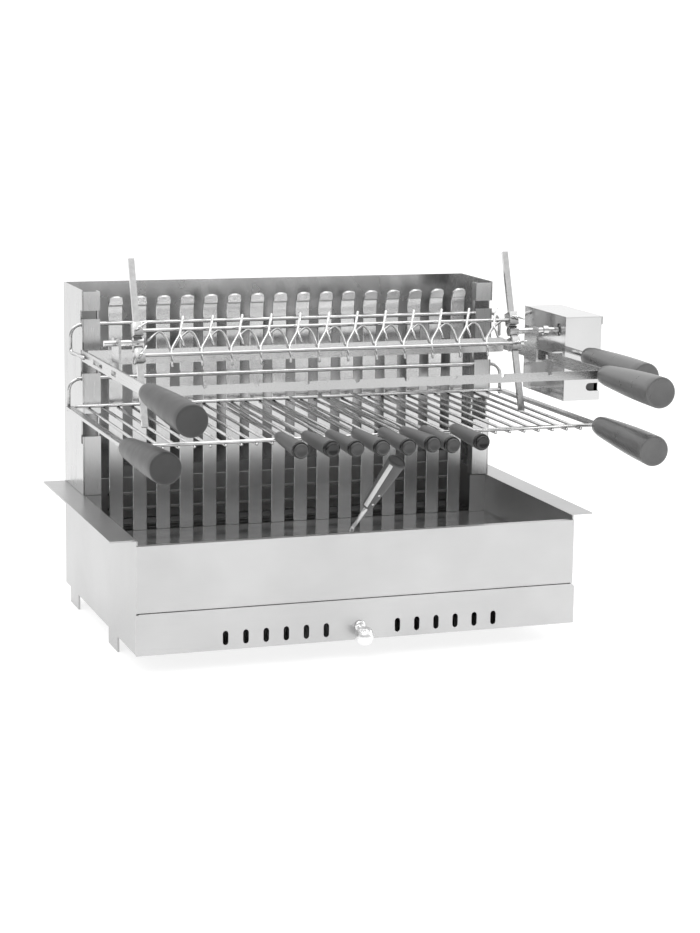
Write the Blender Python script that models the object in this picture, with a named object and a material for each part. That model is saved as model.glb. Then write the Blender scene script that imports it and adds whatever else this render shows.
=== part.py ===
"""Drop-in charcoal barbecue with a vertical fire, a hanging grill and a motor-driven spit basket.

Metres, +Z up. X runs across the box, +Y to the back. Pieces are drawn with Y measured from the
box's front face, and the root empty moves the origin to the middle of the box's underside.
"""
import math
import bmesh
import bpy
from mathutils import Matrix, Vector

# ---- driving dimensions (metres) -------------------------------------------------------------
BOX_WIDTH = 0.600
BOX_DEPTH = 0.414
HALF = BOX_WIDTH / 2
FLANGE_TOP = 0.148
FLANGE_WIDTH = 0.0316
FLANGE_START = 0.011
SHEET = 0.002
GAP = 0.0003

PANEL_TOP = 0.1418
DRAWER_TOP = 0.055
SLOT_PITCH = 0.0271
SLOT_FIRST = 0.0491
SLOT_HEIGHT = 0.0166

BACK_TOP = 0.430
FACE_Y = 0.298
POST_WIDTH = 0.0227
POST_DEPTH = 0.016
POST_TOP = 0.428
POST_FOOT = 0.149
WINDOWS = ((0.230, 0.262), (0.317, 0.349), (0.391, 0.4025))
WINDOW_BACK = 0.3075
SLOT_FRONT = 0.3002

HEARTH_TOP = 0.093
BAR_COUNT = 16
BAR_PITCH = 0.0335
BAR_WIDTH = 0.020
BAR_THICK = 0.0035
BAR_Y = 0.3085
BAR_BEND = 0.402
BAR_LEAN = (0.2945, 0.424)

HOOK_Y = 0.3040
HOOK_RADIUS = 0.0027

GRILL_BACK = 0.291
GRILL_FRONT = -0.022
GRILL_ROD_Z = 0.270
GRILL_ARM_X = 0.318
GRILL_ARM_WIDTH = 0.010
GRILL_ARM_HEIGHT = 0.0045
GRILL_HOOK_Z = 0.310
ROD_RADIUS = 0.0021
ROD_PITCH = 0.0202
ROD_COUNT = 30

CARRIER_ARM_X = 0.303
CARRIER_REAR = 0.282
CARRIER_FRONT = -0.067
CARRIER_HOOK_Z = 0.384
ARM_HEIGHT = 0.015
ARM_REAR_Z = 0.3445
ARM_FRONT_Z = 0.3475
NOTCH_PITCH = 0.0655

SPIT_Y = 0.1372
SPIT_Z = 0.3794
SPIT_LEAN = math.radians(19.05)
SHAFT_RADIUS = 0.004
UPRIGHT_X = 0.263
UPRIGHT_REACH = 0.111
JAW_SIDE = 0.0065
UPPER_JAW = 0.0170
LOWER_JAW = -0.0180
TOOTH_COUNT = 12
TOOTH_PITCH = 0.0401
TOOTH_RADIUS = 0.0018
TOOTH_DIP = -0.0120
CLAMP_HALF_WIDTH = 0.0062
CLAMP_HALF_HEIGHT = 0.0088
CLAMP_HALF_DEPTH = 0.0095
SCREW_LENGTH = 0.0070
# The tilt of each clamping screw's cross bar, in degrees up from the +X direction.
SCREW_TILT = {"upper_screw_left": 33, "upper_screw_right": -14, "lower_screw_left": 57, "lower_screw_right": 4}

MOTOR_X = 0.332
MOTOR_WIDTH = 0.054
MOTOR_FRONT = 0.115
MOTOR_DEPTH = 0.138
MOTOR_BOTTOM = 0.283
MOTOR_HEIGHT = 0.115
MOTOR_SKIN = 0.0012

HANDLE_RADIUS = 0.0195
GRILL_HANDLE_LENGTH = 0.170
CARRIER_HANDLE_LENGTH = 0.175
# How far each handle drifts in x and in z per metre towards its end.
HANDLE_LEAN = {
    "grill_handle_left": (0.0244, 0.0235), "grill_handle_right": (-0.0319, -0.0279),
    "carrier_handle_left": (0.0459, -0.0420), "carrier_handle_right": (-0.0480, 0.0163),
    "motor_handle": (-0.0042, -0.0278),
}

SKEWER_RADIUS = 0.0022
SKEWER_ROOT_Y = -0.0285
# Each skewer: x where its grip starts, then how far it drifts in x and in z per metre of pull.
SKEWERS = ((-0.1240, -0.062, 0.015), (-0.0895, -0.014, 0.015), (-0.0577, -0.018, 0.002), (-0.0230, -0.031, 0.0),
           (0.0127, -0.044, -0.008), (0.0418, -0.014, 0.013), (0.0690, -0.026, -0.007), (0.1108, -0.049, 0.009))

TOOL_TOP = (0.027, -0.050, 0.245)
TOOL_LOW = (-0.001, -0.015, 0.179)

X_AXIS = Vector((1, 0, 0))
Y_AXIS = Vector((0, 1, 0))
Z_AXIS = Vector((0, 0, 1))


# ---- scene, bodies and materials -------------------------------------------------------------
def clear_scene():
    for item in list(bpy.data.objects):
        bpy.data.objects.remove(item, do_unlink=True)


def steel(name, shade, roughness, metallic=1.0):
    """A Principled material in a grey of the given shade."""
    material = bpy.data.materials.new(name)
    material.use_nodes = True
    shader = material.node_tree.nodes["Principled BSDF"]
    shader.inputs["Base Color"].default_value = (shade, shade, shade * 1.01, 1.0)
    shader.inputs["Roughness"].default_value = roughness
    shader.inputs["Metallic"].default_value = metallic
    return material


PIVOTS = {}


def add_body(name, pivot, parent=None):
    """An empty on a body's joint axis; the body's pieces are its children."""
    empty = bpy.data.objects.new("body_" + name, None)
    bpy.context.scene.collection.objects.link(empty)
    pivot = Vector(pivot)
    if parent:
        empty.parent = PIVOTS[parent][0]
        empty.location = pivot - PIVOTS[parent][1]
    else:
        empty.location = (0, -BOX_DEPTH / 2, 0)
    PIVOTS[name] = (empty, pivot)


def add_object(name, mesh_data, body, material=None):
    """Link a bmesh as an object with a finish of its own and its origin at its body's pivot."""
    empty, pivot = PIVOTS[body]
    bmesh.ops.recalc_face_normals(mesh_data, faces=mesh_data.faces)
    bmesh.ops.translate(mesh_data, vec=-pivot, verts=mesh_data.verts)
    mesh = bpy.data.meshes.new(name)
    mesh_data.to_mesh(mesh)
    mesh_data.free()
    if material:
        finish = material.copy()
        finish.name = name + "_" + material.name
        mesh.materials.append(finish)
    item = bpy.data.objects.new(name, mesh)
    bpy.context.scene.collection.objects.link(item)
    item.parent = empty
    return item


def smooth(item, angle=40):
    item.data.shade_smooth()
    item.data.set_sharp_from_angle(angle=math.radians(angle))
    return item


def combine(item, tool_data, body, operation):
    """Join a hidden tool to an object, or cut it away."""
    tool = add_object(item.name + "_" + operation.lower() + str(len(item.modifiers)), tool_data, body)
    tool.hide_render = True
    tool.display_type = "WIRE"
    modifier = item.modifiers.new(operation.title(), "BOOLEAN")
    modifier.operation = operation
    modifier.object = tool
    modifier.solver = "EXACT"
    return item


# ---- shapes ----------------------------------------------------------------------------------
def add_block(data, low, high):
    low, high = Vector(low), Vector(high)
    place = Matrix.Translation((low + high) / 2) @ Matrix.Diagonal((*(high - low), 1))
    bmesh.ops.create_cube(data, size=1, matrix=place)


def block(low, high):
    data = bmesh.new()
    add_block(data, low, high)
    return data


def add_prism(data, outline, offset):
    """A closed outline of points, pushed along an offset vector."""
    offset = Vector(offset)
    face = data.faces.new([data.verts.new(Vector(point)) for point in outline])
    result = bmesh.ops.extrude_face_region(data, geom=[face])
    moved = [item for item in result["geom"] if isinstance(item, bmesh.types.BMVert)]
    bmesh.ops.translate(data, vec=offset, verts=moved)
    return data


def prism(outline, offset):
    return add_prism(bmesh.new(), outline, offset)


def ring_frame(direction, side=None):
    """Two unit vectors square to a direction, the first as near to side as it can be."""
    side = side or (Z_AXIS if abs(direction.z) < 0.9 else X_AXIS)
    first = (side - direction * side.dot(direction)).normalized()
    return first, direction.cross(first)


def add_wire(data, points, radius, sides=8):
    """A round wire through points, mitred at each bend, with flat ends."""
    points = [Vector(point) for point in points]
    steps = [(after - before).normalized() for before, after in zip(points, points[1:])]
    tangents = [steps[0]] + [(a + b).normalized() for a, b in zip(steps, steps[1:])] + [steps[-1]]
    first, _ = ring_frame(tangents[0])
    rings = []
    for index, (point, tangent) in enumerate(zip(points, tangents)):
        first, second = ring_frame(tangent, first)
        stretch = 1 / max(0.5, tangent.dot(steps[min(index, len(steps) - 1)]))
        bend = (steps[min(index, len(steps) - 1)] - steps[max(index - 1, 0)])
        bend = bend.normalized() if bend.length > 1e-6 else Vector((0, 0, 0))
        ring = []
        for corner in range(sides):
            turn = 2 * math.pi * (corner + 0.5) / sides
            spoke = first * math.cos(turn) + second * math.sin(turn)
            spoke += bend * spoke.dot(bend) * (stretch - 1)
            ring.append(data.verts.new(point + spoke * radius))
        rings.append(ring)
    for before, after in zip(rings, rings[1:]):
        for corner in range(sides):
            following = (corner + 1) % sides
            data.faces.new((before[corner], before[following], after[following], after[corner]))
    data.faces.new(list(reversed(rings[0])))
    data.faces.new(rings[-1])
    return data


def wire(points, radius, sides=8):
    return add_wire(bmesh.new(), points, radius, sides)


def add_turned(data, profile, start, direction, sides):
    """A closed turned piece: profile holds (distance along direction, radius) pairs."""
    direction = Vector(direction).normalized()
    first, second = ring_frame(direction)
    rings = []
    for distance, radius in profile:
        centre = Vector(start) + direction * distance
        ring = []
        for corner in range(sides):
            turn = 2 * math.pi * corner / sides
            ring.append(data.verts.new(centre + (first * math.cos(turn) + second * math.sin(turn)) * radius))
        rings.append(ring)
    for before, after in zip(rings, rings[1:]):
        for corner in range(sides):
            following = (corner + 1) % sides
            data.faces.new((before[corner], before[following], after[following], after[corner]))
    data.faces.new(list(reversed(rings[0])))
    data.faces.new(rings[-1])
    return data


def turned(profile, start, direction, sides=20):
    return add_turned(bmesh.new(), profile, start, direction, sides)


def arc(centre, radius, start, stop, steps, across, up):
    """Points on an arc in the plane of two unit vectors, from one angle to another in degrees."""
    points = []
    for step in range(steps + 1):
        turn = math.radians(start + (stop - start) * step / steps)
        points.append(Vector(centre) + (across * math.cos(turn) + up * math.sin(turn)) * radius)
    return points


def obround(x, y, z, half_width, half_height, depth, steps=4):
    """A slot cutter with round ends, cut along +Y."""
    ends = arc((x, y, z + half_height - half_width), half_width, 0, 180, steps, X_AXIS, Z_AXIS)
    ends += arc((x, y, z - half_height + half_width), half_width, 180, 360, steps, X_AXIS, Z_AXIS)
    return ends, (0, depth, 0)


def in_spit(x, along, side):
    """A point by the spit: along its uprights, and to the side, away from the fire's face."""
    y = SPIT_Y + along * math.sin(SPIT_LEAN) + side * math.cos(SPIT_LEAN)
    z = SPIT_Z + along * math.cos(SPIT_LEAN) - side * math.sin(SPIT_LEAN)
    return Vector((x, y, z))


def spit_block(data, low, high):
    """A block square to the spit's uprights, from corners given as (x, along, side)."""
    corners = [(low[0], low[1], low[2]), (low[0], high[1], low[2]),
               (low[0], high[1], high[2]), (low[0], low[1], high[2])]
    return add_prism(data, [in_spit(*corner) for corner in corners], (high[0] - low[0], 0, 0))


# ---- the box ---------------------------------------------------------------------------------
def make_trough(finish):
    """Floor, side walls with outward flanges, back wall and two cheeks, folded from one sheet."""
    outer, inner = HALF, HALF - SHEET
    reach = HALF + FLANGE_WIDTH
    side = [(-outer, 0), (outer, 0), (outer, FLANGE_TOP - SHEET), (reach, FLANGE_TOP - SHEET),
            (reach, FLANGE_TOP), (inner, FLANGE_TOP), (inner, SHEET), (-inner, SHEET),
            (-inner, FLANGE_TOP), (-reach, FLANGE_TOP), (-reach, FLANGE_TOP - SHEET),
            (-outer, FLANGE_TOP - SHEET)]
    front = SHEET + GAP
    outline = [(x, front, z) for x, z in side]
    item = add_object("trough", prism(outline, (0, BOX_DEPTH - front, 0)), "root", finish)
    walls = bmesh.new()
    add_block(walls, (-inner - 0.001, BOX_DEPTH - SHEET, 0.001), (inner + 0.001, BOX_DEPTH - 0.0001, FLANGE_TOP))
    cheek_y = FACE_Y + 0.004
    for sign in (-1, 1):
        near, far = sorted((sign * (HALF - 0.026), sign * (inner + 0.001)))
        add_block(walls, (near, cheek_y, HEARTH_TOP + GAP), (far, cheek_y + SHEET, FLANGE_TOP - 0.001))
    combine(item, walls, "root", "UNION")
    corners = bmesh.new()
    for sign in (-1, 1):
        near, far = sorted((sign * HALF, sign * (reach + 0.01)))
        add_block(corners, (near, -0.01, FLANGE_TOP - 0.01), (far, FLANGE_START, FLANGE_TOP + 0.01))
    return combine(item, corners, "root", "DIFFERENCE")


def make_front_panel(finish):
    """The upper front, with a lip folded back along its top."""
    data = block((-HALF, 0, DRAWER_TOP + 0.0006), (HALF, SHEET, PANEL_TOP))
    item = add_object("front_panel", data, "root", finish)
    edge = HALF - SHEET - GAP
    return combine(item, block((-edge, 0.001, PANEL_TOP - SHEET), (edge, 0.009, PANEL_TOP)), "root", "UNION")


def hook_openings(data, low_x, high_x, front):
    """Windows with a seat below each for a hook wire, cut through everything between two x values."""
    for low, high in WINDOWS:
        seat = low - 0.0103
        outline = [(front, low), (SLOT_FRONT, low), (SLOT_FRONT, seat), (WINDOW_BACK, seat),
                   (WINDOW_BACK, high), (front, high)]
        add_prism(data, [(low_x, y, z) for y, z in outline], (high_x - low_x, 0, 0))
    return data


def make_back_reflector(finish):
    """The upright back sheet, with its two side wings and their hook windows."""
    outer, inner, rear = HALF, HALF - SHEET, BOX_DEPTH
    plan = [(-outer, FACE_Y), (-outer, rear), (outer, rear), (outer, FACE_Y),
            (inner, FACE_Y), (inner, rear - SHEET), (-inner, rear - SHEET), (-inner, FACE_Y)]
    foot = FLANGE_TOP + GAP
    item = add_object("back_reflector", prism([(x, y, foot) for x, y in plan], (0, 0, BACK_TOP - foot)),
                      "root", finish)
    openings = bmesh.new()
    for sign in (-1, 1):
        hook_openings(openings, sign * HALF - 0.01, sign * HALF + 0.01, FACE_Y - 0.01)
    return combine(item, openings, "root", "DIFFERENCE")


def make_rack_post(name, sign, finish):
    """An angle standing inside a wing's front edge, cut with the same hook windows."""
    outer = sign * (HALF - SHEET - GAP)
    inner = sign * (HALF - SHEET - GAP - POST_WIDTH)
    skin = sign * SHEET
    plan = [(outer, FACE_Y), (inner, FACE_Y), (inner, FACE_Y + POST_DEPTH), (inner + skin, FACE_Y + POST_DEPTH),
            (inner + skin, FACE_Y + SHEET), (outer, FACE_Y + SHEET)]
    data = prism([(x, y, POST_FOOT) for x, y in plan], (0, 0, POST_TOP - POST_FOOT))
    item = add_object(name, data, "root", finish)
    near, far = sorted((sign * (HALF + 0.01), inner - skin))
    return combine(item, hook_openings(bmesh.new(), near, far, FACE_Y - 0.01), "root", "DIFFERENCE")


def make_foot(name, sign, start, finish):
    """A bent tab under the box: a plate on edge with a flange turned in along its top."""
    outer, inner, tab = sign * (HALF - 0.004), sign * (HALF - 0.0065), sign * (HALF - 0.021)
    top, bottom = -GAP, -0.026
    profile = [(outer, top), (outer, bottom), (inner, bottom), (inner, top - SHEET), (tab, top - SHEET),
               (tab, top)]
    return add_object(name, prism([(x, start, z) for x, z in profile], (0, 0.050, 0)), "root", finish)


def make_hearth_plate(finish):
    """The polished floor in front of the fire, with lips folded down front and back."""
    edge = HALF - SHEET - 0.001
    front, rear, top, low = 0.0105, 0.3068, HEARTH_TOP, 0.060
    profile = [(front, low), (front, top), (rear, top), (rear, low), (rear - SHEET, low),
               (rear - SHEET, top - SHEET), (front + SHEET, top - SHEET), (front + SHEET, low)]
    data = prism([(-edge, y, z) for y, z in profile], (2 * edge, 0, 0))
    return add_object("hearth_plate", data, "root", finish)


def make_charcoal_grate(finish):
    """The bottom of the fire chamber: long strips lying on cross bearers."""
    low, high = HEARTH_TOP - 0.014, HEARTH_TOP - 0.002
    strips = bmesh.new()
    for index in range(6):
        y = 0.3150 + index * 0.0180
        add_block(strips, (-0.290, y, low + 0.004), (0.290, y + 0.004, high))
    item = add_object("charcoal_grate", strips, "root", finish)
    bearers = bmesh.new()
    for x in (-0.260, 0.0, 0.260):
        add_block(bearers, (x - 0.004, 0.3105, low), (x + 0.004, 0.4105, low + 0.006))
    return combine(item, bearers, "root", "UNION")


def make_fire_grate(finish):
    """Flat upright bars with tips bent forward and rounded, welded to strips behind them."""
    foot = HEARTH_TOP + GAP
    lean_y, tip_z = BAR_LEAN
    bars = bmesh.new()
    for index in range(BAR_COUNT):
        x = (index - (BAR_COUNT - 1) / 2) * BAR_PITCH
        half = BAR_WIDTH / 2
        profile = [(BAR_Y, foot), (BAR_Y, BAR_BEND), (lean_y, tip_z - 0.001), (lean_y + 0.0030, tip_z + 0.001),
                   (BAR_Y + BAR_THICK, BAR_BEND), (BAR_Y + BAR_THICK, foot)]
        add_prism(bars, [(x - half, y, z) for y, z in profile], (BAR_WIDTH, 0, 0))
    item = add_object("fire_grate", bars, "root", finish)
    trims = bmesh.new()
    for index in range(BAR_COUNT):
        x = (index - (BAR_COUNT - 1) / 2) * BAR_PITCH
        for sign in (-1, 1):
            edge, corner, high = x + sign * (BAR_WIDTH / 2), x + sign * 0.0045, tip_z + 0.002
            points = [(edge + sign * 0.001, 0.280, tip_z - 0.0075), (edge - sign * 0.0022, 0.280, tip_z - 0.0020),
                      (corner, 0.280, high), (edge + sign * 0.001, 0.280, high)]
            add_prism(trims, points, (0, 0.025, 0))
    combine(item, trims, "root", "DIFFERENCE")
    behind = BAR_Y + BAR_THICK
    strips = bmesh.new()
    for low, high in ((0.102, 0.109), (0.169, 0.184)):
        add_block(strips, (-0.2620, behind - 0.0005, low), (0.2620, behind + 0.003, high))
    for z in (0.124, 0.145):
        add_wire(strips, [(-0.2620, behind + 0.0015, z), (0.2620, behind + 0.0015, z)], 0.0024, 6)
    return combine(item, strips, "root", "UNION")


# ---- the ash drawer --------------------------------------------------------------------------
def make_ash_drawer(finish):
    """An open tray behind a flat front with two rows of air slots."""
    face = -GAP
    item = add_object("ash_drawer", block((-0.294, -0.001, 0.003), (0.294, 0.400, 0.045)), "drawer", finish)
    hollow = block((-0.2925, 0.0012, 0.0045), (0.2925, 0.3985, 0.060))
    combine(item, hollow, "drawer", "DIFFERENCE")
    high, corner = DRAWER_TOP, 0.005
    outline = [(-HALF - 0.002, 0.001), (HALF + 0.002, 0.001), (HALF + 0.002, high - corner)]
    outline += [(HALF + 0.0005, high - 0.0015), (HALF - 0.003, high), (-HALF + 0.003, high)]
    outline += [(-HALF - 0.0005, high - 0.0015), (-HALF - 0.002, high - corner)]
    combine(item, prism([(x, face - SHEET, z) for x, z in outline], (0, SHEET, 0)), "drawer", "UNION")
    slots = bmesh.new()
    for sign in (-1, 1):
        for index in range(6):
            x = sign * (SLOT_FIRST + index * SLOT_PITCH)
            outline, push = obround(x, -0.010, SLOT_HEIGHT, 0.00375, 0.0095, 0.020)
            add_prism(slots, outline, push)
    return combine(item, slots, "drawer", "DIFFERENCE")


def make_drawer_knob(finish):
    """A polished ball on a short neck that points out and down from a round foot."""
    start = Vector((-0.003, -GAP - SHEET - GAP, 0.0190))
    foot = [(0.0, 0.0075), (0.0015, 0.0075), (0.0030, 0.0055)]
    item = add_object("drawer_knob", turned(foot, start, (0, -1, 0), 16), "drawer", finish)
    droop = math.radians(27)
    direction = (0, -math.cos(droop), -math.sin(droop))
    centre, radius = 0.0200, 0.0125
    profile = [(0.0018, 0.0040), (centre - radius + 0.0010, 0.0045)]
    for step in range(2, 9):
        turn = math.pi * (1 - step / 9)
        profile.append((centre + radius * math.cos(turn), radius * math.sin(turn)))
    profile.append((centre + radius, radius * 0.10))
    combine(item, turned(profile, start, direction, 20), "drawer", "UNION")
    return smooth(item, 50)


# ---- handles and arms ------------------------------------------------------------------------
def make_handle(name, root, length, body, finish):
    """A bottle-shaped grip that swells to a flat end with a small bevel."""
    lean_x, lean_z = HANDLE_LEAN[name]
    profile = [(0.0, 0.0085), (0.003, 0.0125)]
    for step in range(1, 7):
        share = step / 6
        radius = 0.0130 + (HANDLE_RADIUS - 0.0130) * math.sin(share * math.pi / 2)
        profile.append((0.003 + (length - 0.0046) * share, radius))
    profile.append((length, HANDLE_RADIUS - 0.0016))
    return smooth(add_object(name, turned(profile, root, (lean_x, -1, lean_z), 20), body, finish))


def make_arm(name, x, rear, front, size, body, finish, slots=()):
    """A flat bar on edge between two (y, z) ends, of (thickness, height), with optional slots."""
    (y0, z0), (y1, z1), (thick, height) = rear, front, size
    half, end_half = height / 2, height / 2 - 0.0015
    outline = [(y0, z0 - end_half), (y0, z0 + end_half), (y0 - 0.002, z0 + half), (y1 + 0.002, z1 + half),
               (y1, z1 + end_half), (y1, z1 - end_half), (y1 + 0.002, z1 - half), (y0 - 0.002, z0 - half)]
    data = prism([(x - thick / 2, y, z) for y, z in outline], (thick, 0, 0))
    item = add_object(name, data, body, finish)
    if slots:
        cutter = bmesh.new()
        for low_y, high_y, z in slots:
            add_block(cutter, (x - 0.01, low_y, z - 0.0035), (x + 0.01, high_y, z + 0.0035))
        combine(item, cutter, body, "DIFFERENCE")
    return item


# ---- the hanging grill -----------------------------------------------------------------------
def make_grill_grid(finish):
    """Front-to-back rods welded under a back rail and a front rail."""
    edge, rail_z = GRILL_ARM_X - GRILL_ARM_WIDTH / 2 - GAP, GRILL_ROD_Z + 0.0037
    rails = wire([(-edge, GRILL_BACK, rail_z), (edge, GRILL_BACK, rail_z)], 0.0025, 8)
    add_wire(rails, [(-edge, GRILL_FRONT, rail_z), (edge, GRILL_FRONT, rail_z)], 0.0025, 8)
    item = add_object("grill_grid", rails, "grill", finish)
    rods = bmesh.new()
    for index in range(ROD_COUNT):
        x = (index - (ROD_COUNT - 1) / 2) * ROD_PITCH
        add_wire(rods, [(x, GRILL_BACK + 0.0020, GRILL_ROD_Z), (x, GRILL_FRONT - 0.0030, GRILL_ROD_Z)],
                 ROD_RADIUS, 6)
    return smooth(combine(item, rods, "grill", "UNION"), 50)


def make_grill(frame_finish, wire_finish, handle_finish):
    make_grill_grid(wire_finish)
    x, y, top, bend = GRILL_ARM_X, HOOK_Y, GRILL_HOOK_Z, 0.012
    loop = [(-x, y, GRILL_ROD_Z - 0.004), (-x, y, top - bend)]
    loop += arc((-x + bend, y, top - bend), bend, 160, 90, 4, X_AXIS, Z_AXIS)
    loop += arc((x - bend, y, top - bend), bend, 90, 20, 4, X_AXIS, Z_AXIS)
    loop += [(x, y, top - bend), (x, y, GRILL_ROD_Z - 0.004)]
    smooth(add_object("grill_hook_wire", wire(loop, HOOK_RADIUS, 8), "grill", wire_finish))
    rear, front = HOOK_Y - HOOK_RADIUS - GAP, GRILL_FRONT - 0.0042
    for side, sign in (("left", -1), ("right", 1)):
        make_arm("grill_arm_" + side, sign * x, (rear, 0.2712), (front, 0.2732),
                 (GRILL_ARM_WIDTH, GRILL_ARM_HEIGHT), "grill", frame_finish)
        make_handle("grill_handle_" + side, (sign * x, front - GAP, 0.2740), GRILL_HANDLE_LENGTH, "grill",
                    handle_finish)


# ---- the carrier that holds the spit and the motor -------------------------------------------
def make_front_bar(finish):
    """The bar between the arms' front ends, with notches along its top."""
    y, low, top = -0.0615, 0.341, 0.352
    edge = CARRIER_ARM_X - 0.0015 - GAP
    item = add_object("carrier_front_bar", block((-edge, y, low), (edge, y + 0.003, top)), "carrier", finish)
    notches = bmesh.new()
    for index in range(8):
        x = (index - 3.5) * NOTCH_PITCH
        points = [(x - 0.0035, top + 0.002), (x - 0.0025, top - 0.0030), (x - 0.0010, top - 0.0045),
                  (x + 0.0010, top - 0.0045), (x + 0.0025, top - 0.0030), (x + 0.0035, top + 0.002)]
        add_prism(notches, [(px, y - 0.01, pz) for px, pz in points], (0, 0.03, 0))
    return combine(item, notches, "carrier", "DIFFERENCE")


def make_rear_bar(finish):
    """A strip between the arms near the rack, folded to a shallow V along its middle."""
    edge = CARRIER_ARM_X - 0.0015 - GAP
    low, middle, high, front = 0.334, 0.344, 0.354, 0.251
    fold, skin = 0.006, 0.0025
    profile = [(front, middle), (front + fold, high), (front + fold + skin, high),
               (front + skin + 0.0005, middle), (front + fold + skin, low), (front + fold, low)]
    data = prism([(-edge, y, z) for y, z in profile], (2 * edge, 0, 0))
    return add_object("carrier_rear_bar", data, "carrier", finish)


def make_carrier_wire(finish):
    """The loop of wire whose top run hangs in the windows' seats."""
    x, y, top, bend = 0.315, HOOK_Y, CARRIER_HOOK_Z, 0.014
    beside = CARRIER_ARM_X + 0.0015 + GAP + HOOK_RADIUS
    half = [(-beside, 0.256, ARM_REAR_Z), (-beside, 0.288, ARM_REAR_Z), (-x + 0.001, 0.3015, ARM_REAR_Z + 0.001),
            (-x, y, ARM_REAR_Z + 0.006), (-x, y, top - bend)]
    half += arc((-x + bend, y, top - bend), bend, 160, 90, 4, X_AXIS, Z_AXIS)
    mirrored = [(-px, py, pz) for px, py, pz in reversed(half)]
    smooth(add_object("carrier_hook_wire", wire(half + mirrored, HOOK_RADIUS, 8), "carrier", finish))


def make_spit_bracket(name, sign, finish):
    """A forked plate beside the arm that holds the spit's shaft, with a foot turned out to the arm."""
    near, far = sorted((sign * 0.2900, sign * 0.2930))
    item = add_object(name, block((near, 0.118, 0.3385), (far, 0.157, 0.3855)), "carrier", finish)
    outer = sign * (CARRIER_ARM_X - 0.0015 - GAP)
    low, high = sorted((sign * 0.2915, outer))
    combine(item, block((low, 0.120, 0.3385), (high, 0.155, 0.3410)), "carrier", "UNION")
    seat = arc((near - 0.01, SPIT_Y, SPIT_Z), SHAFT_RADIUS + GAP, 180, 360, 8, Y_AXIS, Z_AXIS)
    seat += [(near - 0.01, SPIT_Y + 0.0075, 0.395), (near - 0.01, SPIT_Y - 0.0075, 0.395)]
    return combine(item, prism(seat, (0.03, 0, 0)), "carrier", "DIFFERENCE")


def make_carrier(frame_finish, wire_finish, handle_finish):
    make_rear_bar(frame_finish)
    make_carrier_wire(wire_finish)
    make_front_bar(frame_finish)
    for side, sign in (("left", -1), ("right", 1)):
        x = sign * CARRIER_ARM_X
        slots = [(0.162, 0.213, 0.3455), (0.087, 0.111, 0.3460)]
        make_arm("carrier_arm_" + side, x, (CARRIER_REAR, ARM_REAR_Z), (CARRIER_FRONT, ARM_FRONT_Z),
                 (0.003, ARM_HEIGHT), "carrier", frame_finish, slots)
        make_handle("carrier_handle_" + side, (x, CARRIER_FRONT - GAP, ARM_FRONT_Z), CARRIER_HANDLE_LENGTH,
                    "carrier", handle_finish)
        make_spit_bracket("spit_bracket_" + side, sign, frame_finish)


# ---- the motor -------------------------------------------------------------------------------
def make_motor_housing(finish):
    """An open-topped sheet box with a tab to the carrier's arm and a bar for its own handle."""
    x0, y0, z0 = MOTOR_X, MOTOR_FRONT, MOTOR_BOTTOM
    x1, y1, z1 = x0 + MOTOR_WIDTH, y0 + MOTOR_DEPTH, z0 + MOTOR_HEIGHT
    skin = MOTOR_SKIN
    item = add_object("motor_housing", block((x0, y0, z0), (x1, y1, z1)), "carrier", finish)
    hollow = block((x0 + skin, y0 + skin, z0 + skin), (x1 - skin, y1 - skin, z1 + 0.01))
    combine(item, hollow, "carrier", "DIFFERENCE")
    cuts = turned([(0, 0.0085), (0.02, 0.0085)], (x0 - 0.01, SPIT_Y, SPIT_Z), (1, 0, 0), 16)
    slot = arc((x1 - 0.0155, y0 - 0.01, z0 + 0.0185), 0.0055, 90, 270, 6, X_AXIS, Z_AXIS)
    slot += [(x1 + 0.01, y0 - 0.01, z0 + 0.0130), (x1 + 0.01, y0 - 0.01, z0 + 0.0240)]
    add_prism(cuts, slot, (0, 0.015, 0))
    combine(item, cuts, "carrier", "DIFFERENCE")
    inner = CARRIER_ARM_X + 0.0015 + GAP
    low, under, top = 0.3415, 0.3495, 0.3515
    tab = [(inner, low), (inner, top), (x0 + 0.0006, top), (x0 + 0.0006, low), (x0 - 0.002, low),
           (x0 - 0.002, under), (inner + 0.002, under), (inner + 0.002, low)]
    tabs = prism([(x, y0 + 0.004, z) for x, z in tab], (0, 0.118, 0))
    bar = turned([(0, 0.0045), (0.0542, 0.0045)], (0.340, y0 + 0.0006, 0.353), (0, -1, 0), 10)
    combine(item, tabs, "carrier", "UNION")
    return combine(item, bar, "carrier", "UNION")


def make_motor(shell_finish, dark_finish, metal_finish, handle_finish):
    make_motor_housing(shell_finish)
    x0, y0, z0 = MOTOR_X, MOTOR_FRONT, MOTOR_BOTTOM
    x1, y1, z1 = x0 + MOTOR_WIDTH, y0 + MOTOR_DEPTH, z0 + MOTOR_HEIGHT
    out, thick = x1 + GAP, 0.0012
    lid = [(x0 - 0.0005, z1 + GAP), (out, z1 + GAP), (out, z1 - 0.010), (out + thick, z1 - 0.010),
           (out + thick, z1 + GAP + thick), (x0 - 0.0005, z1 + GAP + thick)]
    cover = prism([(x, y0 - 0.001, z) for x, z in lid], (0, MOTOR_DEPTH + 0.002, 0))
    add_object("motor_cover", cover, "carrier", shell_finish)
    gear_box = block((x0 + 0.0190, y0 + 0.006, z0 + MOTOR_SKIN + GAP), (x1 - 0.006, y1 - 0.030, z1 - 0.006))
    add_object("gear_motor", gear_box, "carrier", dark_finish)
    start = (x0 + 0.0020, SPIT_Y, SPIT_Z)
    socket = smooth(add_object("drive_socket", turned([(0, 0.0070), (0.0165, 0.0070)], start, (1, 0, 0), 16),
                               "spit", metal_finish))
    bore = turned([(-0.005, SHAFT_RADIUS + GAP), (0.0145, SHAFT_RADIUS + GAP)], start, (1, 0, 0), 16)
    combine(socket, bore, "spit", "DIFFERENCE")
    make_handle("motor_handle", (0.340, 0.0608, 0.353), CARRIER_HANDLE_LENGTH, "carrier", handle_finish)


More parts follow.
